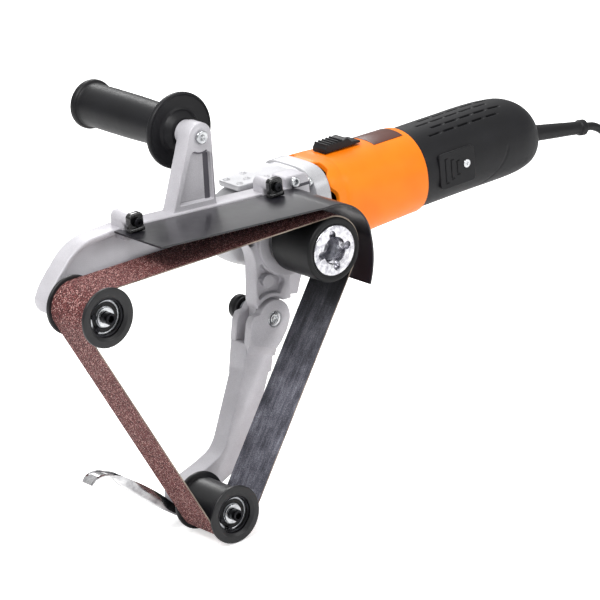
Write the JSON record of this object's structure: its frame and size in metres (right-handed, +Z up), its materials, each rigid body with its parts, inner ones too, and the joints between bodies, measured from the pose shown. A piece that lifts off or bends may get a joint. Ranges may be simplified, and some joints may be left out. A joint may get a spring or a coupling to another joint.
{
  "type": "pipe belt sander",
  "caption": "Hand-held pipe and tube belt sander: angle-grinder motor, cast frame with side handle, three belt wheels, sprung tension arm with release lever, belt guard and mains lead.",
  "frame": {"origin": "On the motor axis at the middle of the rear grip, where the hand holds the tool.", "axes": "+X runs back along the motor towards the lead, +Y runs along the wheel axles towards the far side, away from the open side of the belt, and +Z is up."},
  "size_m": [0.7174, 0.2042, 0.3261],
  "materials": {
    "orange_abs": "smooth moulded plastic, satin",
    "black_nylon": "fine-textured glass-filled nylon and flexible cord sheath",
    "silver_painted_casting": "silver-painted pressure casting with a faint sand texture",
    "black_enamel_sheet": "semi-gloss black enamel on bent sheet steel",
    "black_anodised_roller": "black anodised, turned",
    "black_rubber": "moulded rubber tyre",
    "zinc_plated_steel": "bright zinc plate",
    "chromed_steel": "polished nickel-chrome plate",
    "bearing_steel": "ground steel",
    "black_oxide_steel": "black oxide",
    "copper": "copper segments",
    "lamination_steel": "varnished stack of laminations",
    "carbon": "pressed carbon",
    "abrasive_cloth": "brown-red abrasive grain on grey cloth",
    "brown_label": "blank printed foil"
  },
  "bodies": {
    "body": {"motor_housing": "orange_abs", "rear_housing": "black_nylon", "brush_cover_near": "black_nylon", "brush_cover_far": "black_nylon", "brush_cover_screw_near": "zinc_plated_steel", "brush_cover_screw_far": "zinc_plated_steel", "gear_head": "silver_painted_casting", "flange_screw_1": "zinc_plated_steel", "flange_screw_2": "zinc_plated_steel", "flange_screw_3": "zinc_plated_steel", "flange_screw_4": "zinc_plated_steel", "front_bearing": "bearing_steel", "rear_bearing": "bearing_steel", "field_stator": "lamination_steel", "carbon_brush_near": "carbon", "carbon_brush_far": "carbon", "power_switch": "black_nylon", "name_plate": "brown_label", "spindle_bearing": "bearing_steel", "frame_casting": "silver_painted_casting", "clamp_bolt": "zinc_plated_steel", "belt_guard": "black_enamel_sheet", "guard_screw_front": "black_oxide_steel", "guard_screw_rear": "black_oxide_steel", "side_handle": "black_nylon", "handle_bolt": "zinc_plated_steel", "front_axle_bolt": "black_oxide_steel", "front_axle_washer": "zinc_plated_steel", "pivot_pin": "zinc_plated_steel", "pivot_cap": "black_nylon", "torsion_spring": "bearing_steel", "abrasive_belt": "abrasive_cloth", "strain_relief": "black_nylon", "power_lead": "black_nylon", "lead_coil": "black_nylon", "mains_plug": "black_nylon"},
    "rotor_unit": {"armature": "lamination_steel", "commutator": "copper", "cooling_fan": "black_nylon", "bevel_pinion": "bearing_steel"},
    "spindle_unit": {"spindle": "bearing_steel", "drive_wheel_core": "zinc_plated_steel", "drive_wheel_tyre": "black_rubber", "drive_wheel_screw": "bearing_steel", "crown_gear": "bearing_steel"},
    "front_roller_unit": {"front_roller": "black_anodised_roller", "front_roller_bearing": "bearing_steel", "front_circlip": "black_oxide_steel"},
    "tension_arm_unit": {"tension_arm": "silver_painted_casting", "lower_axle_bolt": "black_oxide_steel", "lower_axle_washer": "zinc_plated_steel", "lever_pin": "zinc_plated_steel"},
    "lower_roller_unit": {"lower_roller": "black_anodised_roller", "lower_roller_bearing": "bearing_steel", "lower_circlip": "black_oxide_steel"},
    "release_lever_unit": {"release_lever": "chromed_steel", "lever_spring": "bearing_steel"},
    "switch_unit": {"switch_slider": "black_nylon"},
    "lock_button_unit": {"spindle_lock_button": "black_oxide_steel"}
  },
  "joints": [
    {"name": "spindle_spin", "type": "hinge", "parent": "body", "child": "spindle_unit", "pos_m": [-0.245, -0.044, 0], "axis": [0, 1, 0], "continuous": true},
    {"name": "rotor_spin", "type": "hinge", "parent": "body", "child": "rotor_unit", "pos_m": [-0.145, 0, 0], "axis": [1, 0, 0], "continuous": true},
    {"name": "front_roller_spin", "type": "hinge", "parent": "body", "child": "front_roller_unit", "pos_m": [-0.455, -0.081, 0.0097], "axis": [0, 1, 0], "continuous": true},
    {"name": "arm_swing", "type": "hinge", "parent": "body", "child": "tension_arm_unit", "pos_m": [-0.2675, -0.04, -0.0602], "axis": [0, 1, 0], "range_deg": [0, 12], "stiffness_Nm_per_rad": 2, "springref_deg": -28.65, "deforming": ["abrasive_belt", "torsion_spring"]},
    {"name": "lower_roller_spin", "type": "hinge", "parent": "tension_arm_unit", "child": "lower_roller_unit", "pos_m": [-0.3603, -0.081, -0.1765], "axis": [0, 1, 0], "continuous": true},
    {"name": "lever_swing", "type": "hinge", "parent": "tension_arm_unit", "child": "release_lever_unit", "pos_m": [-0.344, -0.038, -0.1872], "axis": [0, -1, 0], "range_deg": [0, 25], "stiffness_Nm_per_rad": 0.05, "springref_deg": -34.38},
    {"name": "switch_slide", "type": "slide", "parent": "body", "child": "switch_unit", "axis": [-1, 0, 0], "range_m": [0, 0.006]},
    {"name": "lock_button_press", "type": "slide", "parent": "body", "child": "lock_button_unit", "axis": [0, -1, 0], "range_m": [0, 0.003], "stiffness_N_per_m": 900, "springref_m": -0.002}
  ],
  "couplings": [
    {"joint": "rotor_spin", "follows": "spindle_spin", "ratio": 2.7273},
    {"joint": "front_roller_spin", "follows": "spindle_spin", "ratio": 1.33},
    {"joint": "lower_roller_spin", "follows": "spindle_spin", "ratio": 1.33}
  ]
}
